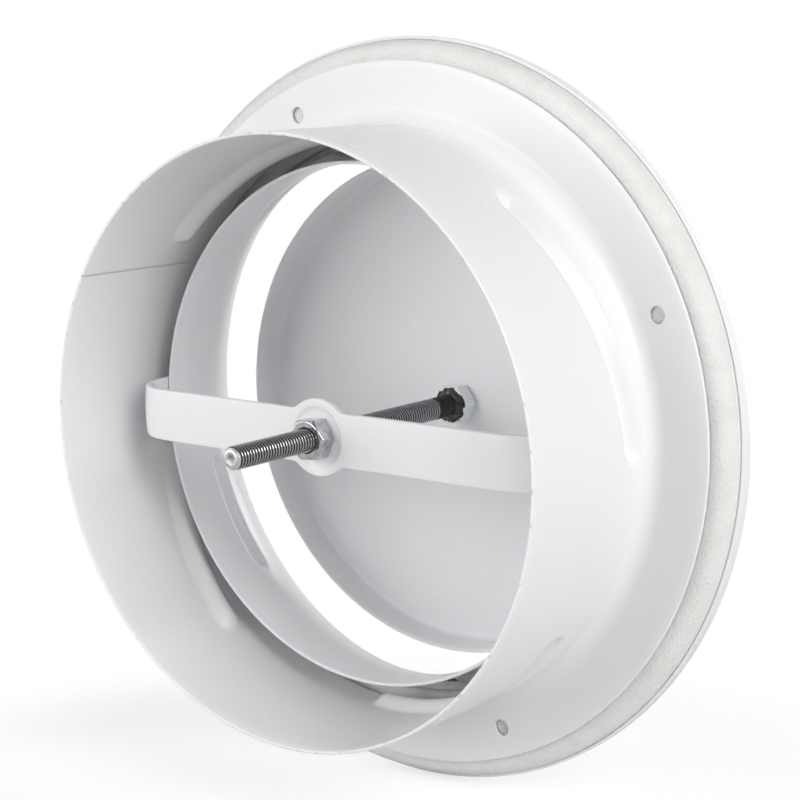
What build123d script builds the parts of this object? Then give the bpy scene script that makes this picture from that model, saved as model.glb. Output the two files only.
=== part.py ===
"""Ventilation disc valve with its mounting collar, for a 125 mm round duct.

The collar goes into the duct and its flange lies under the ceiling. The valve ring stands in the
collar's mouth on a foam seal. A bridge across the ring carries a threaded spindle, and the disc on the
spindle's end opens or closes the mouth.

Millimetres. Z is the common axis and points into the duct. Z = 0 is the flange's back, at the ceiling,
and the bridge lies along X.
"""
from build123d import *
from math import cos, radians, sin, sqrt
import os

os.makedirs("parts", exist_ok=True)

# Mounting collar: a rolled sleeve drawn out to a flat flange
SHEET = 0.7                 # wall of the collar
SLEEVE_R = 62.0             # outside, for a 125 mm duct
SLEEVE_LENGTH = 39.5
FLANGE_WIDTH = 13.0         # from the sleeve's outside
FLANGE_FILLET = 3.5

# Screw holes in the flange
SCREW_HOLE_R = 1.8
SCREW_INSET = 6.3           # from the flange's edge
SCREW_COUNT = 4
SCREW_START_DEG = 22.7

# Sloping ribs pressed into the sleeve, as a bayonet thread
RAMP_COUNT = 4
RAMP_START_DEG = 1.0
RAMP_SPAN_DEG = 50.0
RAMP_LOW_Z = 5.8
RAMP_RISE = 8.0
RAMP_RIB_R = 3.0

# Valve ring: neck, bell mouth and rolled face, pressed from one sheet
RING_SHEET = 0.7
NECK_GAP = 7.0              # from the sleeve's outside to the neck's outside
NECK_TOP_Z = 13.5
NECK_STRAIGHT = 3.2
FLARE_R = 38.0
FLARE_DEG = 45.0
CREST_R = 5.7
FACE_DEG = 148.0
FACE_LENGTH = 9.4           # of the flat slope
RIM_BEND_R = 2.0
RIM_LIP = 2.1

# Short lugs pressed out of the neck, which catch the collar's ramps
LUG_START_DEG = 17.0
LUG_SPAN_DEG = 25.0
LUG_RIB_R = 2.2
LUG_Z = -0.6

# Foam seal in the trough behind the face
SEAL_LAP = 2.2              # how far it stands in from the sleeve's outside
SEAL_RIM_GAP = 1.0          # to the face's rim
SEAL_DEPTH = 10.5
SEAL_GAP = 0.3

# Bridge: a strip bent down at both ends, with a dished boss at the middle
STRIP_WIDTH = 11.0
STRIP_THICKNESS = 1.5
STRIP_BEND_R = 13.0         # outside of the bend
STRIP_TOP_Z = 26.5
LEG_END_Z = 6.0
LEG_GAP = 0.15
BOSS_R = 8.0
DISH_RIM_R = 6.6
DISH_FLOOR_R = 5.6
DISH_DEPTH = 0.5
THREAD_NECK_R = 4.0
THREAD_NECK_LENGTH = 2.5

# Spindle and its two nuts, M5
SPINDLE_R = 2.42
SPINDLE_TOP_Z = 52.0
SPINDLE_CHAMFER = 0.7
THREAD_CLEARANCE = 0.06
NUT_FLATS = 8.0
NUT_HEIGHT = 4.0
NUT_TURN_DEG = 5.7
NUT_FACE_SHARE = 0.95
NUT_CHAMFER_DEG = 30.0
NUT_SEAT_GAP = 0.05

# Disc: a shallow pan with its lip turned back towards the duct
DISC_SHEET = 0.8
DISC_INSET = 0.1            # from the neck's outside
DISC_RIM_Z = -15.4
DISC_DEPTH = 7.6
DISC_BEND_R = 3.0
DISC_LIP_TAPER = 0.5

# Worked out from the sizes above
FLANGE_R = SLEEVE_R + FLANGE_WIDTH
SCREW_CIRCLE_R = FLANGE_R - SCREW_INSET
NECK_R = SLEEVE_R - NECK_GAP
DISC_RIM_R = NECK_R - DISC_INSET
SEAL_INNER_R = SLEEVE_R - SEAL_LAP
THREAD_BORE_R = SPINDLE_R + THREAD_CLEARANCE
NUT_SEAT_Z = STRIP_TOP_Z - DISH_DEPTH + NUT_SEAT_GAP
DISC_FACE_Z = DISC_RIM_Z - DISC_DEPTH
DISC_FLOOR_Z = DISC_FACE_Z + DISC_SHEET
SEAL_TOP_Z = -SHEET - SEAL_GAP


def turned(start, radius, from_deg, to_deg):
    """End point (r, z) of an arc that turns away from straight down, by its heading at both ends."""
    a, b = radians(from_deg), radians(to_deg)
    return (start[0] + radius * (cos(a) - cos(b)), start[1] - radius * (sin(b) - sin(a)))


def heading(degrees):
    """Unit direction in (r, z): 0 is straight down, 90 is outward and 180 is straight up."""
    return (sin(radians(degrees)), -cos(radians(degrees)))


# The ring's back surface, from the neck's top edge to the rim's edge
neck_top = (NECK_R, NECK_TOP_Z)
flare_start = (NECK_R, NECK_TOP_Z - NECK_STRAIGHT)
crest_start = turned(flare_start, FLARE_R, 0, FLARE_DEG)
face_start = turned(crest_start, CREST_R - RING_SHEET, FLARE_DEG, FACE_DEG)
bend_start = (
    face_start[0] + FACE_LENGTH * heading(FACE_DEG)[0],
    face_start[1] + FACE_LENGTH * heading(FACE_DEG)[1],
)
bend_end = turned(bend_start, RIM_BEND_R - RING_SHEET, FACE_DEG, 180)
rim_top = (bend_end[0], bend_end[1] + RIM_LIP)


def flare_back_r(z):
    """Radius of the flare's back surface at height z."""
    drop = flare_start[1] - z
    return NECK_R + FLARE_R - sqrt(FLARE_R**2 - drop**2)


def face_back_r(z):
    """Radius of the back surface at height z, on the sloping face or on the rim above it."""
    slope_r = face_start[0] + (z - face_start[1]) / heading(FACE_DEG)[1] * heading(FACE_DEG)[0]
    return min(slope_r, bend_end[0])


def pressed_rib(rib_r, path_r, low_z, rise, start_deg, span_deg):
    """A round bar with ball ends, bent along a sloping arc on a cylinder: it presses ribs into a wall."""
    def on_path(share):
        turn = radians(start_deg + share * span_deg)
        return Vector(path_r * cos(turn), path_r * sin(turn), low_z + share * rise)

    with BuildPart() as bar:
        with BuildLine():
            arc = ThreePointArc(on_path(0), on_path(0.5), on_path(1))
        first, last = arc @ 0 - arc.arc_center, arc @ 1 - arc.arc_center
        with BuildSketch(Plane(arc @ 0, z_dir=arc % 0)):
            Circle(rib_r)
        revolve(axis=Axis(arc.arc_center, first.cross(last)), revolution_arc=first.get_angle(last))
        with Locations(arc @ 0, arc @ 1):
            Sphere(rib_r)
    return bar.part


# Mounting collar
ramp = (SLEEVE_R, RAMP_LOW_Z, RAMP_RISE, RAMP_START_DEG, RAMP_SPAN_DEG)
with BuildPart() as ramp_bar:
    add(pressed_rib(RAMP_RIB_R, *ramp))
    Cylinder(SLEEVE_R - SHEET / 2, 2 * SLEEVE_LENGTH, mode=Mode.INTERSECT)
ramp_groove = pressed_rib(RAMP_RIB_R - SHEET, *ramp)

with BuildPart() as mounting_collar:
    with BuildSketch(Plane.XZ):
        with BuildLine():
            FilletPolyline(
                (SLEEVE_R, SLEEVE_LENGTH), (SLEEVE_R, 0), (FLANGE_R, 0), radius=FLANGE_FILLET
            )
            offset(amount=SHEET, side=Side.RIGHT)
        make_face()
    revolve(axis=Axis.Z)
    with PolarLocations(0, RAMP_COUNT):
        add(ramp_bar.part)
    with PolarLocations(0, RAMP_COUNT):
        add(ramp_groove, mode=Mode.SUBTRACT)
    with PolarLocations(SCREW_CIRCLE_R, SCREW_COUNT, start_angle=SCREW_START_DEG):
        Cylinder(SCREW_HOLE_R, 4 * SHEET, mode=Mode.SUBTRACT)

mounting_collar.part.label = "mounting_collar"
export_step(mounting_collar.part, "parts/mounting_collar.step")

# Valve ring
lug = (flare_back_r(LUG_Z), LUG_Z, 0, LUG_START_DEG, LUG_SPAN_DEG)
sheet_middle_top = (NECK_R - RING_SHEET / 2, flare_start[1])
sheet_middle_end = turned(sheet_middle_top, FLARE_R + RING_SHEET / 2, 0, FLARE_DEG)
with BuildPart() as lug_bar:
    add(pressed_rib(LUG_RIB_R, *lug))
    with BuildSketch(Plane.XZ):
        with BuildLine():
            TangentArc(sheet_middle_top, sheet_middle_end, tangent=(0, -1))
            Polyline(
                sheet_middle_end, (0, sheet_middle_end[1]), (0, sheet_middle_top[1]), sheet_middle_top
            )
        make_face()
    revolve(axis=Axis.Z, mode=Mode.SUBTRACT)
lug_groove = pressed_rib(LUG_RIB_R - RING_SHEET, *lug)

with BuildPart() as valve_ring:
    with BuildSketch(Plane.XZ):
        with BuildLine():
            Line(neck_top, flare_start)
            TangentArc(flare_start, crest_start, tangent=(0, -1))
            TangentArc(crest_start, face_start, tangent=heading(FLARE_DEG))
            Line(face_start, bend_start)
            TangentArc(bend_start, bend_end, tangent=heading(FACE_DEG))
            Line(bend_end, rim_top)
            offset(amount=RING_SHEET, side=Side.RIGHT)
        make_face()
    revolve(axis=Axis.Z)
    with PolarLocations(0, RAMP_COUNT):
        add(lug_bar.part)
    with PolarLocations(0, RAMP_COUNT):
        add(lug_groove, mode=Mode.SUBTRACT)

valve_ring.part.label = "valve_ring"
export_step(valve_ring.part, "parts/valve_ring.step")

# Foam seal: it fills the trough between the flare and the sloping face
seal_floor_z = SEAL_TOP_Z - SEAL_DEPTH
seal_outer_r = bend_end[0] - SEAL_RIM_GAP
with BuildPart() as foam_seal:
    with BuildSketch(Plane.XZ):
        with BuildLine():
            Polyline(
                (SEAL_INNER_R, SEAL_TOP_Z),
                (seal_outer_r, SEAL_TOP_Z),
                (face_back_r(seal_floor_z) - SEAL_GAP, seal_floor_z),
                (flare_back_r(seal_floor_z) + SEAL_GAP, seal_floor_z),
                (SEAL_INNER_R, LUG_Z - LUG_RIB_R - SEAL_GAP),
                close=True,
            )
        make_face()
    revolve(axis=Axis.Z)

foam_seal.part.label = "foam_seal"
export_step(foam_seal.part, "parts/foam_seal.step")

# Bridge
leg_outer_x = NECK_R + LEG_GAP + STRIP_THICKNESS
dish_z = STRIP_TOP_Z - DISH_DEPTH
boss_base_z = STRIP_TOP_Z - STRIP_THICKNESS
dish_base_z = dish_z - STRIP_THICKNESS
with BuildPart() as bridge:
    with BuildSketch(Plane.XZ):
        with BuildLine():
            FilletPolyline(
                (-leg_outer_x, LEG_END_Z),
                (-leg_outer_x, STRIP_TOP_Z),
                (leg_outer_x, STRIP_TOP_Z),
                (leg_outer_x, LEG_END_Z),
                radius=STRIP_BEND_R,
            )
            offset(amount=STRIP_THICKNESS, side=Side.RIGHT)
        make_face()
    extrude(amount=STRIP_WIDTH / 2, both=True)
    with Locations((0, 0, STRIP_TOP_Z)):
        Cylinder(BOSS_R - STRIP_THICKNESS / 2, 4 * STRIP_THICKNESS, mode=Mode.SUBTRACT)
    with BuildSketch(Plane.XZ):
        with BuildLine():
            Polyline(
                (THREAD_BORE_R, dish_z),
                (DISH_FLOOR_R, dish_z),
                (DISH_RIM_R, STRIP_TOP_Z),
                (BOSS_R, STRIP_TOP_Z),
                (BOSS_R, boss_base_z),
                (DISH_RIM_R, boss_base_z),
                (DISH_FLOOR_R, dish_base_z),
                (THREAD_NECK_R, dish_base_z),
                (THREAD_NECK_R, dish_base_z - THREAD_NECK_LENGTH),
                (THREAD_BORE_R, dish_base_z - THREAD_NECK_LENGTH),
                close=True,
            )
        make_face()
    revolve(axis=Axis.Z)

bridge.part.label = "bridge"
export_step(bridge.part, "parts/bridge.step")

# Spindle
with BuildPart() as spindle:
    with BuildSketch(Plane.XY.offset(DISC_FLOOR_Z)):
        Circle(SPINDLE_R)
    extrude(amount=SPINDLE_TOP_Z - DISC_FLOOR_Z)
    chamfer(spindle.edges().sort_by(Axis.Z)[-1], SPINDLE_CHAMFER)

spindle.part.label = "spindle"
export_step(spindle.part, "parts/spindle.step")


def hex_nut(base_z):
    """A hexagon nut with both faces chamfered at the corners."""
    corner_r = NUT_FLATS / 2 / cos(radians(30))
    face_r = NUT_FLATS / 2 * NUT_FACE_SHARE
    drop = (corner_r - face_r) * sin(radians(NUT_CHAMFER_DEG)) / cos(radians(NUT_CHAMFER_DEG))
    with BuildPart() as nut:
        with BuildSketch(Plane.XY.offset(base_z)):
            RegularPolygon(NUT_FLATS / 2, 6, major_radius=False, rotation=NUT_TURN_DEG)
            Circle(THREAD_BORE_R, mode=Mode.SUBTRACT)
        extrude(amount=NUT_HEIGHT)
        with BuildSketch(Plane.XZ):
            with BuildLine():
                Polyline(
                    (0, base_z),
                    (face_r, base_z),
                    (corner_r, base_z + drop),
                    (corner_r, base_z + NUT_HEIGHT - drop),
                    (face_r, base_z + NUT_HEIGHT),
                    (0, base_z + NUT_HEIGHT),
                    close=True,
                )
            make_face()
        revolve(axis=Axis.Z, mode=Mode.INTERSECT)
    return nut.part


for name, base_z in (("lock_nut", NUT_SEAT_Z), ("disc_nut", DISC_FLOOR_Z)):
    nut_part = hex_nut(base_z)
    nut_part.label = name
    export_step(nut_part, f"parts/{name}.step")

# Disc
with BuildPart() as disc:
    with BuildSketch(Plane.XZ):
        with BuildLine():
            FilletPolyline(
                (0, DISC_FACE_Z),
                (DISC_RIM_R - DISC_LIP_TAPER, DISC_FACE_Z),
                (DISC_RIM_R, DISC_RIM_Z),
                radius=DISC_BEND_R,
            )
            offset(amount=DISC_SHEET, side=Side.LEFT)
        make_face()
    revolve(axis=Axis.Z)

disc.part.label = "disc"
export_step(disc.part, "parts/disc.step")
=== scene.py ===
# %% [markdown]
# # A ventilation disc valve, dressed in Blender
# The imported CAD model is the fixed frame. It gives every part's place and size, and this lesson puts a
# finer surface and a finish on each of them. All lengths below are in millimetres, and they become
# metres when a mesh is written.

# %% Load the frame
import bmesh
import bpy
import numpy as np
from mathutils import Matrix, Vector


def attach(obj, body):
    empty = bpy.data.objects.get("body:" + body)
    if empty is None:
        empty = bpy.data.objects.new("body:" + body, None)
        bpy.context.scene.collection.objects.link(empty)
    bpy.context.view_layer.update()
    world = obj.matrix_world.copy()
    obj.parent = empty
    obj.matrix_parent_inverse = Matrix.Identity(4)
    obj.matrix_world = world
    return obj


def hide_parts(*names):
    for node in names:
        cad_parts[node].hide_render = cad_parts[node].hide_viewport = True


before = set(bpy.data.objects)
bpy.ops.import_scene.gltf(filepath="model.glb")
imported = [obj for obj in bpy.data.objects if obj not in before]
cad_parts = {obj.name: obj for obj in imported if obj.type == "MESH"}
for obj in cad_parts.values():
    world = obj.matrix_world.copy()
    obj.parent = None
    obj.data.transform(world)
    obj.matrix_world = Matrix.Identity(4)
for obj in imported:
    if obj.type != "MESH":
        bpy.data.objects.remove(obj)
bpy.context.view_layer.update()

# %% [markdown]
# ## Surfaces from grids
# Sheet metal that is rolled or pressed could be made with a Screw modifier and then dented by hand. Here
# a surface is an array of points instead: rows run along a profile, and columns run round the axis. So a
# pressed rib is only a term that is added to the radius, and it has the soft shoulders of a real one.

# %% Grid helpers
MM, TINY = 0.001, 1e-6


def unit(vectors):
    """Each vector divided by its length."""
    return vectors / np.linalg.norm(vectors, axis=-1, keepdims=True)


def run(start, end, count):
    """Points at equal steps on a straight line from start to end, both included."""
    share = np.linspace(0, 1, count)[:, None]
    return (1 - share) * np.array(start) + share * np.array(end)


def direction(deg):
    """(cos a, sin a) for each angle a, which is given in degrees."""
    a = np.radians(deg)
    return np.stack([np.cos(a), np.sin(a)], axis=-1)


def arc(centre, radius, from_deg, to_deg, count):
    """Points on a circle: centre + radius * (cos a, sin a), for a going from one angle to the other."""
    return np.array(centre) + radius * direction(np.linspace(from_deg, to_deg, count))


def joined(*runs):
    """One line from several, without the points that repeat where two of them meet."""
    line = np.concatenate(runs)
    step = np.linalg.norm(np.diff(line, axis=0), axis=1)
    return line[np.concatenate([[True], step > TINY])]


def lathe(profile, columns):
    """A profile of (r, z) points turned about Z: (r cos a, r sin a, z) for evenly spaced a."""
    a = np.linspace(0, 2 * np.pi, columns, endpoint=False)
    r, z = profile[:, :1], profile[:, 1:]
    return np.stack([r * np.cos(a), r * np.sin(a), z + 0 * a], axis=-1)


def quads(points, close_rows, close_columns):
    """The grid's vertices, and a quad between each four neighbours. A closed grid wraps round."""
    rows, columns = points.shape[:2]
    i = np.arange(rows if close_rows else rows - 1)[:, None]
    j = np.arange(columns if close_columns else columns - 1)[None, :]
    down, right = (i + 1) % rows, (j + 1) % columns
    faces = np.stack([i * columns + j, down * columns + j, down * columns + right, i * columns + right], -1)
    return points.reshape(-1, 3), faces.reshape(-1, 4)


def facing_out(vertices, faces):
    """The faces, turned over where the volume they enclose, the sum of a . (b x c) / 6, is negative."""
    a, b, c, d = (vertices[faces[:, k]] for k in range(4))
    volume = (a * np.cross(b, c)).sum() + (a * np.cross(c, d)).sum()
    return faces if volume > 0 else faces[:, ::-1]


def wall(middle, thickness, round_start=True, cap=5):
    """A sheet's closed section from its middle surface, a grid whose rows follow the profile.

    Each point moves half the thickness along the surface's normal, to both sides. A free edge is closed
    by a half circle: half * (cos b * normal + sin b * tangent) for b from 0 to 180 degrees.
    """
    along = np.gradient(middle, axis=0)
    around = np.roll(middle, -1, axis=1) - np.roll(middle, 1, axis=1)
    if not round_start:
        around[0] = around[1]
    normal, tangent, half = unit(np.cross(along, around)), unit(along), thickness / 2
    b = np.radians(np.linspace(0, 180, cap + 2))[1:-1, None, None]
    end = middle[-1] + half * (np.cos(b) * normal[-1] + np.sin(b) * tangent[-1])
    start = middle[0] - half * (np.cos(b) * normal[0] + np.sin(b) * tangent[0])
    sides = [middle + half * normal, end, (middle - half * normal)[::-1]]
    return np.concatenate(sides + [start] if round_start else sides)


def rib(turn_deg, z, radius, start_deg, span_deg, low_z, rise, half_width, depth):
    """How deep four pressed ribs stand at each angle and height.

    A rib follows a sloping line on the cylinder. At the distance d from the line its depth is
    depth * (1 - (d / half_width) ** 2) ** 2, and nothing beyond the half width.
    """
    length = radius * np.radians(span_deg)
    margin = (90 - span_deg) / 2
    x = radius * np.radians((turn_deg - start_deg + margin) % 90 - margin)
    share = np.clip((x * length + (z - low_z) * rise) / (length**2 + rise**2), 0, 1)
    d = np.hypot(x - share * length, z - low_z - share * rise)
    return depth * (1 - np.clip(d / half_width, 0, 1) ** 2) ** 2


SHARP_DEG, SAME_POINT = 40, 1e-7


def piece(name, body, surfaces, replaced, sharp_deg=SHARP_DEG):
    """A Blender object at the origin from closed surfaces, riding on a body and standing for CAD parts."""
    vertices, faces, start = [], [], 0
    for points, cells in surfaces:
        vertices.append(points)
        faces.append(facing_out(points, cells) + start)
        start += len(points)
    vertices, faces = np.concatenate(vertices) * MM, np.concatenate(faces)
    mesh = bpy.data.meshes.new(name)
    mesh.vertices.add(len(vertices))
    mesh.vertices.foreach_set("co", vertices.ravel())
    mesh.loops.add(faces.size)
    mesh.loops.foreach_set("vertex_index", faces.ravel())
    mesh.polygons.add(len(faces))
    mesh.polygons.foreach_set("loop_start", np.arange(len(faces)) * 4)
    mesh.update(calc_edges=True)
    shape = bmesh.new()
    shape.from_mesh(mesh)
    bmesh.ops.remove_doubles(shape, verts=shape.verts, dist=SAME_POINT)
    shape.to_mesh(mesh)
    shape.free()
    mesh.shade_smooth()
    mesh.set_sharp_from_angle(angle=np.radians(sharp_deg))
    shown = bpy.data.objects.new(name, mesh)
    bpy.context.scene.collection.objects.link(shown)
    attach(shown, body)
    if replaced:
        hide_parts(*replaced)
    print(name, "faces:", len(mesh.polygons), "size:", [round(v, 4) for v in shown.dimensions])
    return shown


# %% [markdown]
# ## Mounting collar
# A strip is rolled and welded into a sleeve, and its mouth is drawn out to a flat flange. Four sloping
# ribs are pressed inward as a bayonet thread. A boolean could cut such ribs, but it leaves sharp rims, so
# the sleeve's radius is simply smaller where a rib is.

# %% Collar surface
SHEET = 0.7
SLEEVE_R, SLEEVE_LENGTH = 62.0, 39.5
FLANGE_R, FLANGE_FILLET = 75.0, 3.5
RIBS_TOP_Z = 18.5
RAMP = {"start_deg": 1.0, "span_deg": 50.0, "low_z": 5.8, "rise": 8.0, "half_width": 3.6, "depth": 2.2}

sleeve_mid_r = SLEEVE_R - SHEET / 2
fillet_centre = (SLEEVE_R + FLANGE_FILLET, FLANGE_FILLET)
collar_line = joined(
    run((sleeve_mid_r, SLEEVE_LENGTH - SHEET / 2), (sleeve_mid_r, RIBS_TOP_Z), 10),
    run((sleeve_mid_r, RIBS_TOP_Z), (sleeve_mid_r, FLANGE_FILLET), 33),
    arc(fillet_centre, FLANGE_FILLET + SHEET / 2, 180, 270, 12),
    run((SLEEVE_R + FLANGE_FILLET, -SHEET / 2), (FLANGE_R - SHEET / 2, -SHEET / 2), 8),
)
turn_deg = np.linspace(0, 360, 480, endpoint=False)
collar_middle = lathe(collar_line, len(turn_deg))
pressed = rib(turn_deg[None, :], collar_line[:, 1:], SLEEVE_R, **RAMP)
inward = np.stack([-np.cos(np.radians(turn_deg)), -np.sin(np.radians(turn_deg)), 0 * turn_deg], axis=-1)
collar_middle = collar_middle + pressed[..., None] * inward
collar = piece("collar_sheet", "collar", [quads(wall(collar_middle, SHEET), True, True)],
               ["mounting_collar"])

# %% [markdown]
# The screw holes are punched in the flat flange. A cutter with four short pins takes them out with a
# Boolean modifier, which is applied, and the cutter is removed.

# %% Screw holes
SCREW_HOLE_R, SCREW_CIRCLE_R, SCREW_START_DEG = 1.8, 68.7, 22.7


def punched(target, centres, hole_r, low_z, high_z):
    """Cuts round holes along Z through the target with pins of the given radius."""
    ring = arc((0, 0), hole_r, 0, 360, 25)[:-1]
    levels = [(0.0, low_z), (1.0, low_z), (1.0, high_z), (0.0, high_z)]
    cutter = bmesh.new()
    for x, y in centres:
        rows = [[(x + s * px, y + s * py, z) for px, py in ring] for s, z in levels]
        points, cells = quads(np.array(rows), False, True)
        cells = facing_out(points - points.mean(axis=0), cells)
        made = [cutter.verts.new(p * MM) for p in points]
        for cell in cells:
            cutter.faces.new([made[k] for k in cell])
    bmesh.ops.remove_doubles(cutter, verts=cutter.verts, dist=SAME_POINT)
    mesh = bpy.data.meshes.new("pins")
    cutter.to_mesh(mesh)
    cutter.free()
    pins = bpy.data.objects.new("pins", mesh)
    bpy.context.scene.collection.objects.link(pins)
    cut = target.modifiers.new("holes", "BOOLEAN")
    cut.object, cut.operation, cut.solver = pins, "DIFFERENCE", "EXACT"
    result = bpy.data.meshes.new_from_object(target.evaluated_get(bpy.context.evaluated_depsgraph_get()))
    target.modifiers.remove(cut)
    target.data = result
    bpy.data.objects.remove(pins)
    result.shade_smooth()
    result.set_sharp_from_angle(angle=np.radians(SHARP_DEG))


hole_centres = SCREW_CIRCLE_R * direction(SCREW_START_DEG + 90 * np.arange(4))
punched(collar, hole_centres, SCREW_HOLE_R, -2 * SHEET, 2 * SHEET)
print("collar after punching:", len(collar.data.polygons), "faces")

# %% [markdown]
# ## Valve ring
# Neck, bell mouth and rolled face are one pressing. Its section is a chain of arcs, so the profile is
# drawn arc by arc along the middle of the sheet. Four short lugs are pressed outward from the neck.

# %% Ring surface
NECK_R, NECK_TOP_Z, NECK_STRAIGHT = 55.0, 13.5, 3.2
FLARE_R, FLARE_DEG, CREST_R, FACE_DEG = 38.0, 45.0, 5.7, 148.0
FACE_LENGTH, RIM_BEND_R, RIM_LIP = 9.4, 2.0, 2.1
LUG = {"start_deg": 17.0, "span_deg": 25.0, "low_z": -0.6, "rise": 0.0, "half_width": 2.6, "depth": 1.7}
LUGS_WITHIN_R = 62


def turned(start, radius, from_deg, to_deg):
    """End of an arc that turns outward from straight down, by its heading at both ends.

    It lies at start + radius * ((cos a, sin a) - (cos b, sin b)), for the headings a and b.
    """
    return np.array(start) + radius * (direction(from_deg) - direction(to_deg))


flare_top_z = NECK_TOP_Z - NECK_STRAIGHT
flare_centre = (NECK_R + FLARE_R, flare_top_z)
crest_back_r, bend_back_r = CREST_R - SHEET, RIM_BEND_R - SHEET
crest_start = turned((NECK_R, flare_top_z), FLARE_R, 0, FLARE_DEG)
crest_centre = crest_start + crest_back_r * direction(FLARE_DEG)
face_start = turned(crest_start, crest_back_r, FLARE_DEG, FACE_DEG)
bend_centre = face_start + FACE_LENGTH * direction(FACE_DEG - 90) + bend_back_r * direction(FACE_DEG)
rim_mid_r = bend_centre[0] + bend_back_r + SHEET / 2
face_rim_r = rim_mid_r + SHEET / 2
ring_line = joined(
    run((NECK_R - SHEET / 2, NECK_TOP_Z - SHEET / 2), (NECK_R - SHEET / 2, flare_top_z), 6),
    arc(flare_centre, FLARE_R + SHEET / 2, 180, 180 + FLARE_DEG, 60),
    arc(crest_centre, crest_back_r + SHEET / 2, 180 + FLARE_DEG, 180 + FACE_DEG, 22),
    arc(bend_centre, bend_back_r + SHEET / 2, 180 + FACE_DEG, 360, 6),
    run((rim_mid_r, bend_centre[1]), (rim_mid_r, bend_centre[1] + RIM_LIP - SHEET / 2), 4),
)
ring_middle = lathe(ring_line, len(turn_deg))
pressed = rib(turn_deg[None, :], ring_line[:, 1:], NECK_R, **LUG) * (ring_line[:, :1] < LUGS_WITHIN_R)
ring_middle = ring_middle - pressed[..., None] * inward
ring = piece("ring_sheet", "ring", [quads(wall(ring_middle, SHEET), True, True)],
             ["valve_ring"])

# %% [markdown]
# ## Disc
# The disc is a shallow pan: flat, with a soft bend and a low lip turned back. A plain lathe of its closed
# section is enough. Both ends of the section lie on the axis, and the doubled points there are merged.

# %% Disc surface
DISC_SHEET, DISC_RIM_R, DISC_RIM_Z = 0.8, 54.9, -15.4
DISC_DEPTH, DISC_BEND_R, DISC_LIP_TAPER = 7.6, 2.2, 0.5
disc_face_z = DISC_RIM_Z - DISC_DEPTH
disc_floor_z = disc_face_z + DISC_SHEET
disc_mid_z = disc_face_z + DISC_SHEET / 2
disc_half = DISC_SHEET / 2
lip_lean_deg = np.degrees(np.arctan2(DISC_LIP_TAPER, DISC_DEPTH))
lip_foot_r = DISC_RIM_R - DISC_LIP_TAPER
disc_bend_mid_r = DISC_BEND_R - disc_half
disc_bend_centre = (lip_foot_r - DISC_BEND_R + DISC_LIP_TAPER * DISC_BEND_R / DISC_DEPTH,
                    disc_face_z + DISC_BEND_R)
lip_foot = disc_bend_centre + disc_bend_mid_r * direction(-lip_lean_deg)
disc_line = joined(
    run((0, disc_mid_z), (disc_bend_centre[0], disc_mid_z), 24),
    arc(disc_bend_centre, disc_bend_mid_r, -90, -lip_lean_deg, 10),
    run(lip_foot, (DISC_RIM_R - disc_half, DISC_RIM_Z - disc_half), 5),
)
disc_surface = wall(lathe(disc_line, 360), DISC_SHEET, round_start=False)
disc_surface[[0, -1], :, :2] = 0
disc = piece("disc_pan", "disc", [quads(disc_surface, False, True)], ["disc"])

# %% [markdown]
# ## Bridge
# The bridge is a flat strip, bent down at both ends, with a round dished boss where the spindle passes.
# Its surface is a rounded section carried along the bent line. The section widens to a circle at the
# middle, and the dish is a small drop that depends only on the distance from the axis.

# %% Bridge surface
STRIP_WIDTH, STRIP_THICKNESS, STRIP_BEND_R, STRIP_TOP_Z = 11.0, 1.5, 13.0, 26.5
LEG_END_Z, LEG_GAP, STRIP_EDGE_R, STRIP_CROWN = 6.0, 0.15, 0.35, 0.3
BOSS_R, DISH_RIM_R, DISH_FLOOR_R, DISH_DEPTH = 8.0, 6.6, 5.6, 0.5
BOSS_RUN, BOSS_BLEND, CROWN_BLEND = 10.0, 2.5, 6.0
THREAD_NECK_R, THREAD_NECK_LENGTH, THREAD_BORE_R = 4.0, 2.5, 2.48
BORE_BREAK, NECK_BREAK = 0.2, 0.3

half_strip = STRIP_THICKNESS / 2
leg_mid_x = NECK_R + LEG_GAP + half_strip
strip_mid_z = STRIP_TOP_Z - half_strip
bend_mid_r = STRIP_BEND_R - half_strip
bend_x, bend_z = leg_mid_x - bend_mid_r, strip_mid_z - bend_mid_r
right_half = joined(
    run((0, strip_mid_z), (BOSS_RUN, strip_mid_z), 41),
    run((BOSS_RUN, strip_mid_z), (bend_x, strip_mid_z), 14),
    arc((bend_x, bend_z), bend_mid_r, 90, 0, 16),
    run((leg_mid_x, bend_z), (leg_mid_x, LEG_END_Z), 7),
)
strip_line = np.concatenate([right_half[:0:-1] * (-1, 1), right_half])
heading = unit(np.gradient(strip_line, axis=0))
outer_side = np.stack([-heading[:, 1], heading[:, 0]], axis=-1)
flat_run = np.abs(strip_line[:, 1] - strip_mid_z) < TINY
boss_half = np.sqrt(np.clip(BOSS_R**2 - strip_line[:, 0] ** 2, 0, None)) * flat_run
half_width = np.log(np.exp(BOSS_BLEND * boss_half) + np.exp(BOSS_BLEND * STRIP_WIDTH / 2)) / BOSS_BLEND
half_width = half_width - (half_width[0] - STRIP_WIDTH / 2)

# %% [markdown]
# The section goes along the upper face, round one edge, back along the lower face and round the other.
# Along the strip it is lifted or let down by the crown and the dish, and each end closes in one point.

# %% Strip and threaded neck
top, edge, under = np.ones(41), np.ones(10), np.ones(21)
corner = np.radians(np.linspace(0, 180, len(edge)))
across = np.concatenate([np.linspace(-1, 1, len(top)), edge, np.linspace(1, -1, len(under)), -edge])
edge_out = np.concatenate([0 * top, np.sin(corner), 0 * under, -np.sin(corner)])
edge_up = np.concatenate([top, np.cos(corner), -under, -np.cos(corner)])

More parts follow.
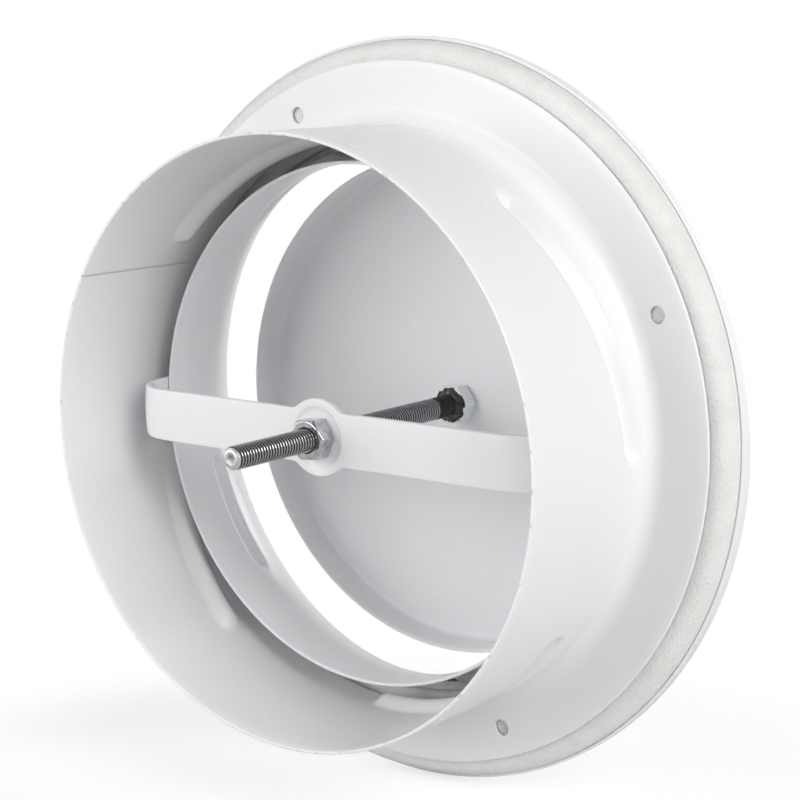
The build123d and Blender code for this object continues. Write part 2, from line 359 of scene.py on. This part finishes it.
side = (half_width[:, None] - STRIP_EDGE_R) * across + STRIP_EDGE_R * edge_out
lift = (half_strip - STRIP_EDGE_R) * np.sign(np.round(edge_up, 6)) + STRIP_EDGE_R * edge_up + 0 * side
crowned = np.clip((np.abs(strip_line[:, :1]) - BOSS_R) / CROWN_BLEND, 0, 1)
lift = lift - STRIP_CROWN * crowned * (side / half_width[:, None]) ** 2
from_axis = np.hypot(strip_line[:, :1], side)
dish = np.clip((DISH_RIM_R - from_axis) / (DISH_RIM_R - DISH_FLOOR_R), 0, 1)
lift = lift - DISH_DEPTH * dish**2 * (3 - 2 * dish) * flat_run[:, None]
strip = np.stack([strip_line[:, :1] + lift * outer_side[:, :1], side,
                  strip_line[:, 1:] + lift * outer_side[:, 1:]], axis=-1)
tips = [np.broadcast_to(strip[k].mean(axis=0), strip[k].shape)[None] for k in (0, -1)]
strip = np.concatenate([tips[0], strip, tips[1]])
neck_low_z = STRIP_TOP_Z - DISH_DEPTH - STRIP_THICKNESS - THREAD_NECK_LENGTH
neck_high_z = STRIP_TOP_Z - DISH_DEPTH - half_strip
neck_section = np.array([
    (THREAD_BORE_R, neck_high_z), (THREAD_BORE_R, neck_low_z + BORE_BREAK),
    (THREAD_BORE_R + BORE_BREAK, neck_low_z), (THREAD_NECK_R - NECK_BREAK, neck_low_z),
    (THREAD_NECK_R, neck_low_z + NECK_BREAK), (THREAD_NECK_R, neck_high_z),
])
bridge = piece("bridge_strip", "ring",
               [quads(strip, False, True), quads(lathe(neck_section, 48), True, True)], ["bridge"])

# %% [markdown]
# ## Spindle
# An M5 thread is a helix: going once round moves the profile one pitch along. So the radius at an angle
# and height is the crest radius less the groove's depth at the phase z / pitch - angle / 360. The end is
# chamfered by taking the smaller of that radius and a cone's.

# %% Threaded spindle
SPINDLE_R, SPINDLE_TOP_Z, SPINDLE_CHAMFER = 2.42, 52.0, 0.7
THREAD_PITCH, THREAD_DEPTH = 0.8, 0.44
TIP_HOLLOW = ((0.7, 0.0), (0.35, 0.12), (0.0, 0.2))


def threaded(top_z, foot_z, columns=28, steps_a_turn=8):
    """Radius = crest - depth * groove, with groove = clip(1.25 * |saw| - 0.1, 0, 1) of the helix's phase.

    The cut end is slightly hollow: TIP_HOLLOW gives shares of its radius and how far each sinks.
    """
    rows = int((top_z - foot_z) / THREAD_PITCH * steps_a_turn)
    z = np.linspace(foot_z, top_z, rows)[:, None]
    share = np.arange(columns)[None, :] / columns
    phase = (z / THREAD_PITCH - share) % 1.0
    groove = np.clip(1.25 * np.abs(2 * phase - 1) - 0.1, 0, 1)
    r = SPINDLE_R - THREAD_DEPTH * groove
    r = np.minimum(r, SPINDLE_R - SPINDLE_CHAMFER + (top_z - z))
    a = 2 * np.pi * share
    body = np.stack([r * np.cos(a), r * np.sin(a), z + 0 * a], axis=-1)
    foot = body[:1] * (0, 0, 1)
    tip = [body[-1:] * (width, width, 1) - (0, 0, sink) for width, sink in TIP_HOLLOW]
    return np.concatenate([foot, body] + tip)


spindle_surface = threaded(SPINDLE_TOP_Z, disc_floor_z)
spindle = piece("spindle_thread", "spindle", [quads(spindle_surface, False, True)], ["spindle"],
                sharp_deg=75)

# %% [markdown]
# ## Nuts
# A hexagon nut is turned at both faces, so its corners are cut by a flat cone. In one grid, the outline
# gives the radius at each angle, and the cone limits it near the faces. A soft minimum of the two leaves
# the small round that catches the light.

# %% Hexagon nuts
NUT_FLATS, NUT_HEIGHT, NUT_TURN_DEG, NUT_CORNER_R = 8.0, 4.0, 5.7, 0.3
NUT_FACE_SHARE, NUT_CHAMFER_DEG, NUT_SOFTNESS, BORE_CHAMFER = 0.95, 30.0, 12.0, 0.3
NUT_ROWS = np.array([0, 0.05, 0.12, 0.2, 0.3, 0.42, 0.6, 0.9])


def hexagon(flats, corner_r, turn):
    """A hexagon's outline with round corners, as radius and angle at each point.

    Each corner's small circle lies (flats / 2 - corner_r) / cos 30 from the middle.
    """
    corner_at = (flats / 2 - corner_r) / np.cos(np.radians(30))
    parts = []
    for middle in 60 * np.arange(6) + turn:
        parts.append(arc(corner_at * direction(middle), corner_r, middle - 30, middle + 30, 5))
        flat_end = corner_at * direction(middle + 60) + corner_r * direction(middle + 30)
        parts.append(run(parts[-1][-1], flat_end, 9)[1:-1])
    outline = np.concatenate(parts)
    return np.hypot(outline[:, 0], outline[:, 1]), np.arctan2(outline[:, 1], outline[:, 0])


def hex_nut(low_z):
    """A nut's closed grid. Its rows go out over one face, up the flats, in over the other, down the bore.

    Beside the flats the radius is the soft minimum of the outline and the cone:
    -log(exp(-s * cone) + exp(-s * outline)) / s, with s = NUT_SOFTNESS.
    """
    edge_r, edge_a = hexagon(NUT_FLATS, NUT_CORNER_R, NUT_TURN_DEG)
    face_r = NUT_FLATS / 2 * NUT_FACE_SHARE
    heights = np.concatenate([NUT_ROWS, [NUT_HEIGHT / 2], (NUT_HEIGHT - NUT_ROWS)[::-1]])
    from_face = np.minimum(heights, NUT_HEIGHT - heights)
    cone = face_r + from_face / np.tan(np.radians(NUT_CHAMFER_DEG))
    powers = np.exp(-NUT_SOFTNESS * cone[:, None]) + np.exp(-NUT_SOFTNESS * edge_r[None, :])
    body_r = -np.log(powers) / NUT_SOFTNESS
    rows = [(share * body_r[0], 0.0) for share in (0.72, 0.86, 0.97)]
    rows += zip(body_r, heights)
    rows += [(share * body_r[-1], NUT_HEIGHT) for share in (0.97, 0.86, 0.72)]
    bore = THREAD_BORE_R + 0 * edge_r
    rows += [(bore + BORE_CHAMFER, NUT_HEIGHT), (bore, NUT_HEIGHT - BORE_CHAMFER), (bore, BORE_CHAMFER),
             (bore + BORE_CHAMFER, 0.0)]
    r = np.array([row[0] for row in rows])
    z = low_z + np.array([row[1] for row in rows])[:, None]
    return np.stack([r * np.cos(edge_a), r * np.sin(edge_a), z + 0 * r], axis=-1)


NUT_SHARP_DEG, SEAT_GAP = 32, 0.05
lock_nut_z = STRIP_TOP_Z - DISH_DEPTH + SEAT_GAP
lock_nut = piece("lock_nut_hex", "lock_nut", [quads(hex_nut(lock_nut_z), True, True)],
                 ["lock_nut"], NUT_SHARP_DEG)
disc_nut = piece("disc_nut_hex", "disc", [quads(hex_nut(disc_floor_z), True, True)],
                 ["disc_nut"], NUT_SHARP_DEG)

# %% [markdown]
# ## Foam seal
# The seal is a flat ring of soft foam in the trough behind the face. It could be a torus that is pressed
# flat, but a lathe of its own section follows the lip and the bell mouth. Slow swells keep it from looking
# machined, and its fine cells come with the material.

# %% Foam ring
SEAL_INNER_R, SEAL_TOP_Z, SEAL_FLOOR_Z = 59.8, -1.0, -11.5
SEAL_LIP_GAP, SEAL_SHOULDER, SEAL_DROP, SEAL_MEETS_DEG = 0.02, 3.2, 4.6, 15
SEAL_SHELF_R, SEAL_SHELF_Z, SEAL_SIDE_Z = 58.1, -3.4, -6.2
SEAL_EDGE_R, SEAL_FLARE_GAP, SEAL_SWELLS_FROM_R = 0.8, 0.35, 75


def foam_ring(columns=420):
    """A section (r, z) turned about Z, with small sine swells in the height of its outer shoulder.

    The shoulder is a piece of an ellipse with half axes SEAL_SHOULDER and SEAL_DROP, from its top to
    SEAL_MEETS_DEG, where the foam has swelled out beyond the flange and meets the face's lip.
    """
    flare_r = NECK_R + FLARE_R - np.sqrt(FLARE_R**2 - (flare_top_z - SEAL_FLOOR_Z) ** 2) + SEAL_FLARE_GAP
    outer_r = rim_mid_r - SHEET / 2 - SEAL_LIP_GAP
    shoulder = arc((0, 0), 1, 90, SEAL_MEETS_DEG, 14) * (SEAL_SHOULDER, SEAL_DROP)
    shoulder = shoulder - (shoulder[-1, 0], SEAL_DROP) + (outer_r, SEAL_TOP_Z)
    section = joined(
        run((SEAL_INNER_R + SEAL_EDGE_R, SEAL_TOP_Z), (shoulder[0, 0] - 0.2, SEAL_TOP_Z), 16),
        shoulder,
        run((outer_r, shoulder[-1, 1] - 0.3), (outer_r, SEAL_SIDE_Z), 5),
        run((outer_r - 0.8, SEAL_SIDE_Z - 1), (outer_r - 2.7, SEAL_FLOOR_Z + 1), 8),
        run((outer_r - 3.6, SEAL_FLOOR_Z), (flare_r + 0.6, SEAL_FLOOR_Z), 10),
        run((flare_r, SEAL_FLOOR_Z + 0.6), (SEAL_SHELF_R, SEAL_SHELF_Z - 0.8), 8),
        run((SEAL_SHELF_R + 0.1, SEAL_SHELF_Z), (SEAL_INNER_R, SEAL_SHELF_Z + 0.2), 6),
        run((SEAL_INNER_R, SEAL_SHELF_Z + 0.4), (SEAL_INNER_R, SEAL_TOP_Z - SEAL_EDGE_R), 4),
        arc((SEAL_INNER_R + SEAL_EDGE_R, SEAL_TOP_Z - SEAL_EDGE_R), SEAL_EDGE_R, 180, 90, 5),
    )
    ring_points = lathe(section[:-1], columns)
    a = np.linspace(0, 2 * np.pi, columns, endpoint=False)
    swell = 0.12 * np.sin(7 * a + 1) + 0.08 * np.sin(17 * a) + 0.05 * np.sin(41 * a + 2)
    r, z = section[:-1, :1], section[:-1, 1:]
    near_edge = np.clip((r - SEAL_SWELLS_FROM_R) / 3, 0, 1) * np.clip((z + 6) / 4, 0, 1)
    ring_points[..., 2] += swell * near_edge
    return ring_points


foam = piece("foam_ring", "seal", [quads(foam_ring(), True, True)], ["foam_seal"])

# %% [markdown]
# ## Locking compound
# A drop of black thread-locking compound sits round the spindle on the disc's nut. It is a low collar
# whose outline wanders, made from a lathe whose radius and height carry a few sine terms.

# %% Compound on the disc nut
COMPOUND_R, COMPOUND_HEIGHT = 3.55, 0.55


def compound(columns=72):
    """COMPOUND_R + waves outside, rising to the spindle inside: a lumpy washer with a domed top."""
    a = np.linspace(0, 2 * np.pi, columns, endpoint=False)
    outer = (COMPOUND_R + 0.14 * np.sin(2 * a + 0.8) + 0.1 * np.sin(3 * a + 2.1)
             + 0.06 * np.sin(7 * a) + 0.04 * np.sin(13 * a + 1))
    high = COMPOUND_HEIGHT + 0.18 * np.sin(2 * a + 1.3) + 0.12 * np.sin(7 * a)
    base = disc_floor_z + NUT_HEIGHT
    rows = [(SPINDLE_R + 0.02 + 0 * a, base - 0.05 + 0 * a), (outer, base - 0.05 + 0 * a),
            (outer, base + 0.1 + 0 * a), (outer - 0.12, base + 0.5 * high), (outer - 0.4, base + 0.85 * high),
            (0.5 * (outer + SPINDLE_R), base + high), (SPINDLE_R + 0.25 + 0 * a, base + 1.2 * high),
            (SPINDLE_R + 0.03 + 0 * a, base + 1.5 * high)]
    r = np.array([row[0] for row in rows])
    z = np.array([row[1] for row in rows])
    return np.stack([r * np.cos(a), r * np.sin(a), z], axis=-1)


blob = piece("locking_compound", "disc", [quads(compound(), True, True)], [])

# %% [markdown]
# ## Shader helper
# Nodes are easier to read as sums. A small class wraps a socket, so that Python's operators add Math
# nodes, and one method makes any other node.

# %% Nodes as expressions
class Value:
    """A socket that takes part in arithmetic. Each operator adds one Math node to the same tree."""

    def __init__(self, tree, socket):
        self.tree, self.socket = tree, socket

    def math(self, operation, first, second):
        """One Math node of the given operation, in this socket's tree."""
        return node(self.tree, "ShaderNodeMath", {"operation": operation}, {0: first, 1: second})

    def __add__(self, other):
        return self.math("ADD", self, other)

    def __sub__(self, other):
        return self.math("SUBTRACT", self, other)

    def __rsub__(self, other):
        return self.math("SUBTRACT", other, self)

    def __mul__(self, other):
        return self.math("MULTIPLY", self, other)

    __radd__, __rmul__ = __add__, __mul__


def node(tree, kind, settings=None, sockets=None, out=0):
    """Adds a node: settings first, then the values or links of its sockets.

    It gives the output that out names by its place or its label.
    """
    made = tree.nodes.new(kind)
    for name, value in (settings or {}).items():
        setattr(made, name, value)
    for name, value in (sockets or {}).items():
        if isinstance(value, Value):
            tree.links.new(value.socket, made.inputs[name])
        else:
            made.inputs[name].default_value = value
    return Value(tree, made.outputs[out]) if len(made.outputs) else None


def ramp(tree, value, low, high):
    """0 below low, 1 above high, and a smooth rise between them."""
    return node(tree, "ShaderNodeMapRange", {"interpolation_type": "SMOOTHSTEP"},
                {"Value": value, "From Min": low, "From Max": high})


def noise(tree, where, size, detail=2.0, roughness=0.5):
    """Noise whose grains are about the given size in metres, from 0 to 1."""
    return node(tree, "ShaderNodeTexNoise", {}, {"Vector": where, "Scale": 1 / size, "Detail": detail,
                                                  "Roughness": roughness})


def mixed(tree, mask, first, second):
    """The first colour where the mask is 0, and the second where it is 1."""
    return node(tree, "ShaderNodeMix", {"data_type": "RGBA"}, {0: mask, 6: first, 7: second}, out=2)


def bumped(tree, height, distance, below=None):
    """A normal from a height map: its slopes are those of height * distance in metres."""
    sockets = {"Height": height, "Distance": distance, "Strength": 1.0}
    if below is not None:
        sockets["Normal"] = below
    return node(tree, "ShaderNodeBump", {}, sockets)


def material(name):
    """An empty node material, its tree, and its Object coordinates as a vector and three numbers."""
    made = bpy.data.materials.new(name)
    made.use_nodes = True
    tree = made.node_tree
    tree.nodes.clear()
    where = node(tree, "ShaderNodeTexCoord", out="Object")
    return made, tree, where, [node(tree, "ShaderNodeSeparateXYZ", {}, {0: where}, out=k) for k in range(3)]


def finish(tree, sockets):
    """A Principled surface with the given sockets, joined to the material's output."""
    surface = node(tree, "ShaderNodeBsdfPrincipled", {}, sockets)
    node(tree, "ShaderNodeOutputMaterial", {}, {"Surface": surface})


def from_z_axis(x, y):
    """Distance from the Z axis: the square root of x * x + y * y."""
    squares = x * x + y * y
    return squares.math("POWER", squares, 0.5)


# %% [markdown]
# ## White paint
# The sheet parts are powder coated. The coat is smooth and glossy but it isn't flat: it has a fine orange
# peel of about a millimetre, and under it the sheet swells slowly. Two bumps of different sizes give
# both. The roughness wanders a little, so that reflections aren't even. The ring also has faint lines from
# its drawing, and the sleeve has its weld and worn spots at the rim. Pictures could carry all this, but
# noise in the object's own coordinates has no seam.

# %% Paint
PAINT, PAINT_SHADE, PAINT_THIN = (0.872, 0.88, 0.892, 1), (0.852, 0.86, 0.872, 1), (0.66, 0.655, 0.64, 1)
SWELL_SIZE, PEEL_SIZE, STREAK_WIDTH = 0.03, 0.0013, 0.0022
PEEL_DEPTH, SEAM_HEIGHT, PAINT_GLOSS = 0.0000035, 0.0002, 0.27


def paint(name, ripple=0.00003, extra=None, streak=0.0):
    """Gloss white coat. extra(tree, where, (x, y, z)) may give a mask of thin paint and a height.

    streak is the depth of the fine drawing lines that run along Z under the coat.
    """
    made, tree, where, place = material(name)
    tone = noise(tree, where, 0.02, 3)
    colour = mixed(tree, ramp(tree, tone, 0.3, 0.8) * 0.35, PAINT, PAINT_SHADE)
    slow = bumped(tree, noise(tree, where, SWELL_SIZE, 1), ripple)
    peel = bumped(tree, noise(tree, where, PEEL_SIZE, 2), PEEL_DEPTH, slow)
    if streak:
        drawn = node(tree, "ShaderNodeVectorMath", {"operation": "MULTIPLY"}, {0: where, 1: (1.0, 1.0, 0.1)})
        peel = bumped(tree, noise(tree, drawn, STREAK_WIDTH, 2), streak, peel)
    if extra:
        thin, height = extra(tree, where, place)
        colour = mixed(tree, thin, colour, PAINT_THIN)
        peel = bumped(tree, height, SEAM_HEIGHT, peel)
    finish(tree, {"Base Color": colour, "Roughness": 0.2 + 0.1 * noise(tree, where, 0.008, 3),
                  "Specular IOR Level": PAINT_GLOSS, "Normal": peel})
    return made


SEAM_DEG = 149.6
SEAM_CORE, SEAM_EDGE, SEAM_WANDER = 0.0001, 0.0004, 0.0003
SEAM_SIDE, SEAM_LOW_Z = (0.02, 0.03), (0.006, 0.010)


def seam(tree, where, place):
    """The sleeve's weld: a thin raised line at one angle, on the sleeve only, with a little thin paint.

    The distance from the line is -x * sin a + y * cos a. The rim's paint is also worn in a few places.
    """
    x, y, z = place
    a = np.radians(SEAM_DEG)
    off = x * float(-np.sin(a)) + y * float(np.cos(a))
    out = x * float(np.cos(a)) + y * float(np.sin(a))
    side = ramp(tree, out, *SEAM_SIDE) * ramp(tree, z, *SEAM_LOW_Z)
    off = off + SEAM_WANDER * (noise(tree, where, 0.006, 2) - 0.5)
    near = (1 - ramp(tree, off.math("ABSOLUTE", off, 0), SEAM_CORE, SEAM_EDGE)) * side
    at_rim = ramp(tree, z, (SLEEVE_LENGTH - 0.25) * MM, (SLEEVE_LENGTH - 0.1) * MM)
    rim = at_rim * ramp(tree, noise(tree, where, 0.002, 3), 0.6, 0.66)
    return near * 0.7 + rim * 0.8, near


collar.data.materials.append(paint("collar_paint", 0.00004, seam))
ring.data.materials.append(paint("ring_paint", 0.00003, streak=0.00006))
disc.data.materials.append(paint("disc_paint", 0.00004))
bridge.data.materials.append(paint("bridge_paint", 0.00002))
print("painted:", [shown.name for shown in (collar, ring, disc, bridge)])

# %% [markdown]
# ## Zinc
# Spindle and lock nut are bright zinc. On the thread, shade is painted into the grooves, so the crests
# stand out bright. That could be painted by hand, but the colour can go by the distance from the axis
# instead.

# %% Zinc
ZINC, ZINC_DULL = (0.66, 0.66, 0.68, 1), (0.36, 0.36, 0.37, 1)
PAINTED_SHADE, CUT_METAL, BLACK = (0.02, 0.02, 0.022, 1), (0.68, 0.68, 0.69, 1), (0.012, 0.012, 0.013, 1)
GROOVE_R, SHADE_END_R = 0.00219, 0.00243
COMPOUND_FADE_Z, COMPOUND_END_Z = -0.0115, -0.0109


def zinc(name, thread):
    """Bright metal with painted shade in a thread's grooves and in its cut end's hollow, black near the
    locking compound, worn at the cut end.
    """
    made, tree, where, (x, y, z) = material(name)
    tone = noise(tree, where, 0.0015, 3)
    colour = mixed(tree, ramp(tree, tone, 0.35, 0.75) * (0.5 if thread else 0.9), ZINC, ZINC_DULL)
    rough = 0.14 + 0.14 * tone
    metal = 1.0
    if thread:
        r = from_z_axis(x, y)
        # painted shade: the thread's grooves are darkened by their distance from the axis
        groove = 1 - ramp(tree, r, GROOVE_R, SHADE_END_R)
        colour = mixed(tree, groove * 0.9, colour, PAINTED_SHADE)
        cut_end = ramp(tree, z, (SPINDLE_TOP_Z - 0.72) * MM, (SPINDLE_TOP_Z - 0.6) * MM)
        colour = mixed(tree, cut_end, colour, CUT_METAL)
        # painted shade in the hollow middle of the cut end
        centre = cut_end * (1 - ramp(tree, r + 0.0006 * noise(tree, where, 0.0006, 2), 0.0008, 0.0019))
        colour = mixed(tree, centre * 0.6, colour, PAINTED_SHADE)
        smear = z + 0.0016 * noise(tree, where, 0.001, 2)
        black = 1 - ramp(tree, smear, COMPOUND_FADE_Z, COMPOUND_END_Z)
        colour = mixed(tree, black, colour, BLACK)
        metal = 1 - black
        rough = rough + 0.2 * groove
    finish(tree, {"Base Color": colour, "Metallic": metal, "Roughness": rough,
                  "Normal": bumped(tree, noise(tree, where, 0.0004, 2), 0.000004)})
    return made


spindle.data.materials.append(zinc("spindle_zinc", True))
lock_nut.data.materials.append(zinc("nut_zinc", False))
print("zinc:", [spindle.name, lock_nut.name])

# %% [markdown]
# ## Black compound and the painted nut
# The compound has set hard and glossy. The disc's nut was painted with the disc, and the compound was
# smeared over its face, so one mask by height and distance from the axis divides white from black.

# %% Compound and nut finish
FLECK_SIZE = 0.0005
SMEAR_DEPTH, SMEAR_R = (0.00035, 0.0001), (0.0038, 0.0040)


def compound_black(name):
    """Hard glossy black with a few small bright grey flecks."""
    made, tree, where, _ = material(name)
    fleck = ramp(tree, noise(tree, where, FLECK_SIZE, 2), 0.73, 0.8)
    colour = mixed(tree, fleck, BLACK, (0.6, 0.6, 0.6, 1))
    finish(tree, {"Base Color": colour, "Roughness": 0.18, "Coat Weight": 0.5,
                  "Normal": bumped(tree, noise(tree, where, 0.0008, 3), 0.0003)})
    return made


def painted_nut(name):
    """White at the flats, and black compound smeared over the face towards the spindle."""
    made, tree, where, (x, y, z) = material(name)
    r = from_z_axis(x, y)
    top = (disc_floor_z + NUT_HEIGHT) * MM
    face = ramp(tree, z, top - SMEAR_DEPTH[0], top - SMEAR_DEPTH[1])
    smear = face * (1 - ramp(tree, r + 0.0016 * (noise(tree, where, 0.0012, 3) - 0.5), *SMEAR_R))
    fleck = ramp(tree, noise(tree, where, FLECK_SIZE, 2), 0.68, 0.76)
    black = mixed(tree, fleck, BLACK, (0.5, 0.5, 0.5, 1))
    colour = mixed(tree, smear, PAINT, black)
    finish(tree, {"Base Color": colour, "Roughness": 0.25,
                  "Normal": bumped(tree, noise(tree, where, 0.0007, 3), 0.00004)})
    return made


blob.data.materials.append(compound_black("locking_black"))
disc_nut.data.materials.append(painted_nut("disc_nut_paint"))
print("black:", [blob.name, disc_nut.name])

# %% [markdown]
# ## Foam
# Fine open-cell foam is matt and a little grainy. Voronoi cells of under half a millimetre give the
# pores, with painted shade in them, and a soft noise gives the uneven cream colour.

# %% Foam finish
FOAM, FOAM_SHADE, PORE_SHADE = (0.865, 0.86, 0.845, 1), (0.825, 0.82, 0.8, 1), (0.70, 0.69, 0.66, 1)
PORE_SIZE, GRAIN_SIZE, FOAM_DEPTH = 0.0005, 0.0007, 0.00022


def foam_finish(name):
    """Cream foam with painted shade in its small pores, and no gloss."""
    made, tree, where, _ = material(name)
    cells = node(tree, "ShaderNodeTexVoronoi", {}, {"Vector": where, "Scale": 1 / PORE_SIZE})
    # painted shade: the pores are a little darker than the foam around them
    pore_shade = 1 - ramp(tree, cells, 0.1, 0.4)
    grain = noise(tree, where, GRAIN_SIZE, 4, 0.7)
    colour = mixed(tree, ramp(tree, noise(tree, where, 0.006, 3), 0.35, 0.7), FOAM, FOAM_SHADE)
    colour = mixed(tree, pore_shade * 0.2, colour, PORE_SHADE)
    normal = bumped(tree, grain + 0.6 * cells, FOAM_DEPTH)
    finish(tree, {"Base Color": colour, "Roughness": 0.95, "Normal": normal, "Specular IOR Level": 0.15})
    return made


foam.data.materials.append(foam_finish("foam_cream"))
print("foam:", foam.name)

# %% [markdown]
# ## Camera
# The camera could be set by eye. Here it was worked out so that the sleeve's rim, the ring, the disc and
# the face fall where they do in the photograph. Its axes are given in the part's own frame.

# %% Camera
CAMERA_AT = Vector((0.25989, 0.07782, 0.32679))
CAMERA_RIGHT = Vector((0.78478, -0.01389, -0.61962))
CAMERA_UP = Vector((-0.09740, 0.98456, -0.14544))
LENS, SENSOR, NEAREST = 90.0, 36.0, 0.01
back = CAMERA_RIGHT.cross(CAMERA_UP).normalized()
right = CAMERA_UP.cross(back).normalized()
up = back.cross(right)
camera_data = bpy.data.cameras.new("camera")
camera_data.lens, camera_data.sensor_width, camera_data.sensor_fit = LENS, SENSOR, "HORIZONTAL"
camera_data.clip_start = NEAREST
camera = bpy.data.objects.new("camera", camera_data)
camera.matrix_world = Matrix.Translation(CAMERA_AT) @ Matrix((right, up, back)).transposed().to_4x4()
bpy.context.scene.collection.objects.link(camera)
bpy.context.scene.camera = camera
print("camera:", [round(v, 4) for v in camera.location], "lens", LENS)

# %% [markdown]
# ## Studio
# The photograph is a packshot on white: soft light from the left, more from the front right, a little
# from behind, and a white ground. Each lamp is placed by its bearing from the camera's side and by its
# height. The ground is tilted by PITCH against the picture, because the camera looks down a little.

# %% Lamps
PITCH, LAMP_DISTANCE = np.radians(5), 1.2
scene_up = (up * float(np.cos(PITCH)) + back * float(np.sin(PITCH))).normalized()


def softbox(name, bearing_deg, height_deg, size, power):
    """A square area lamp turned to the object's middle.

    Its place is LAMP_DISTANCE * (sin b cos h, sin h, cos b cos h) to the right, up and towards the camera.
    """
    b, h = np.radians(bearing_deg), np.radians(height_deg)
    lamp = bpy.data.lights.new(name, "AREA")
    lamp.shape, lamp.size, lamp.energy = "SQUARE", size, power
    shown = bpy.data.objects.new(name, lamp)
    place = LAMP_DISTANCE * (right * float(np.sin(b) * np.cos(h)) + up * float(np.sin(h))
                             + back * float(np.cos(b) * np.cos(h)))
    shown.matrix_world = Matrix.Translation(place) @ place.to_track_quat("Z", "Y").to_matrix().to_4x4()
    bpy.context.scene.collection.objects.link(shown)
    return shown


# name, degrees to the right from the camera's side, degrees up, size in metres, watts
LAMPS = (
    ("soft_left_far", -100, 10, 0.7, 1.4),
    ("soft_left_high", -80, 35, 0.7, 0.7),
    ("soft_left_front", -60, 7, 0.7, 6.8),
    ("soft_right_front", 33, 22, 0.75, 10.6),
    ("soft_right_behind", 135, 20, 0.7, 5.5),
)
for lamp_spec in LAMPS:
    softbox(*lamp_spec)
print("lamps:", [lamp_spec[0] for lamp_spec in LAMPS])

# %% [markdown]
# One white world could light the part, but then every side of it would be equally bright. Here each kind
# of ray gets its own strength. The camera sees full white, and matt surfaces get a weak light. Glossy ones
# see full white behind the part and little in front, as in a studio whose camera side is dark.

# %% World
SKY_BEHIND, SKY_FRONT, SHINE_BEHIND, SHINE_FRONT = 0.12, 0.17, 1.0, 0.25
world = bpy.data.worlds.new("studio")
bpy.context.scene.world = world
world.use_nodes = True
sky = world.node_tree
sky.nodes.clear()
seen, shiny, clear = (node(sky, "ShaderNodeLightPath", out=f"Is {ray} Ray")
                      for ray in ("Camera", "Glossy", "Transmission"))
outward = node(sky, "ShaderNodeTexCoord", out="Generated")
facing = node(sky, "ShaderNodeVectorMath", {"operation": "DOT_PRODUCT"}, {0: outward, 1: tuple(back)}, out=1)
front = ramp(sky, facing, -0.3, 0.5)
diffuse_level = front * SKY_FRONT + (1 - front) * SKY_BEHIND
shiny_level = front * SHINE_FRONT + (1 - front) * SHINE_BEHIND
white_rays = seen.math("MAXIMUM", seen, clear)
strength = white_rays + (1 - white_rays) * (shiny * shiny_level + (1 - shiny) * diffuse_level)
background = node(sky, "ShaderNodeBackground", {}, {"Color": (1, 1, 1, 1), "Strength": strength})
node(sky, "ShaderNodeOutputWorld", {}, {"Surface": background})
print("world: strength 1 to the camera,", SKY_FRONT, "to the part's front")

# %% [markdown]
# The floor lies under the object's lowest point, as the photograph's ground does. It is matt, so it takes
# the shadow, and it glows for the camera, so that it turns white beside the shadow. For the camera it fades
# away beyond the object, so that no horizon shows, and it can't be seen from below.

# %% Floor
FLOOR_HALF, FLOOR_GAP = 0.6, 0.0005
FLOOR_GLOW, FLOOR_MATT, FLOOR_BOUNCE = 0.67, 0.44, 0.8
FADE_FROM, FADE_TO = 0.115, 0.155
FACE_RIM_Z = -8.0

rims = lathe(np.array([(face_rim_r, FACE_RIM_Z), (SLEEVE_R, SLEEVE_LENGTH)]), len(turn_deg)) * MM
floor_drop = float((rims @ np.array(scene_up)).min()) - FLOOR_GAP
floor_back = scene_up.cross(right).normalized()
floor_right = floor_back.cross(scene_up).normalized()
corners = [scene_up * floor_drop + floor_right * (sx * FLOOR_HALF) + floor_back * (sy * FLOOR_HALF)
           for sx, sy in ((-1, -1), (1, -1), (1, 1), (-1, 1))]
floor_mesh = bpy.data.meshes.new("floor")
floor_mesh.from_pydata([tuple(c) for c in corners], [], [(0, 1, 2, 3)])
if floor_mesh.polygons[0].normal.dot(scene_up) < 0:
    floor_mesh.flip_normals()
floor = bpy.data.objects.new("floor", floor_mesh)
bpy.context.scene.collection.objects.link(floor)

ground, tree, where, _ = material("floor_white")
seen = node(tree, "ShaderNodeLightPath", out="Is Camera Ray")
behind = node(tree, "ShaderNodeNewGeometry", out="Backfacing")
tone = mixed(tree, seen, (FLOOR_BOUNCE,) * 3 + (1,), (FLOOR_MATT,) * 3 + (1,))
matt = node(tree, "ShaderNodeBsdfDiffuse", {}, {"Color": tone})
glow = node(tree, "ShaderNodeEmission", {}, {"Color": (1, 1, 1, 1), "Strength": FLOOR_GLOW * seen})
both = node(tree, "ShaderNodeAddShader", {}, {0: matt, 1: glow})
open_air = node(tree, "ShaderNodeBsdfTransparent")
span = node(tree, "ShaderNodeVectorMath", {"operation": "LENGTH"}, {0: where}, out=1)
faded = behind.math("MAXIMUM", behind, seen * ramp(tree, span, FADE_FROM, FADE_TO))
shade = node(tree, "ShaderNodeMixShader", {}, {0: faded, 1: both, 2: open_air})
node(tree, "ShaderNodeOutputMaterial", {}, {"Surface": shade})
floor_mesh.materials.append(ground)
print("floor lies", round(-floor_drop, 4), "m under the origin")

# %% [markdown]
# ## Finish
# The view transform is Standard, so that a colour comes out about as it is written.

# %% Finish
bpy.context.scene.view_settings.view_transform = "Standard"
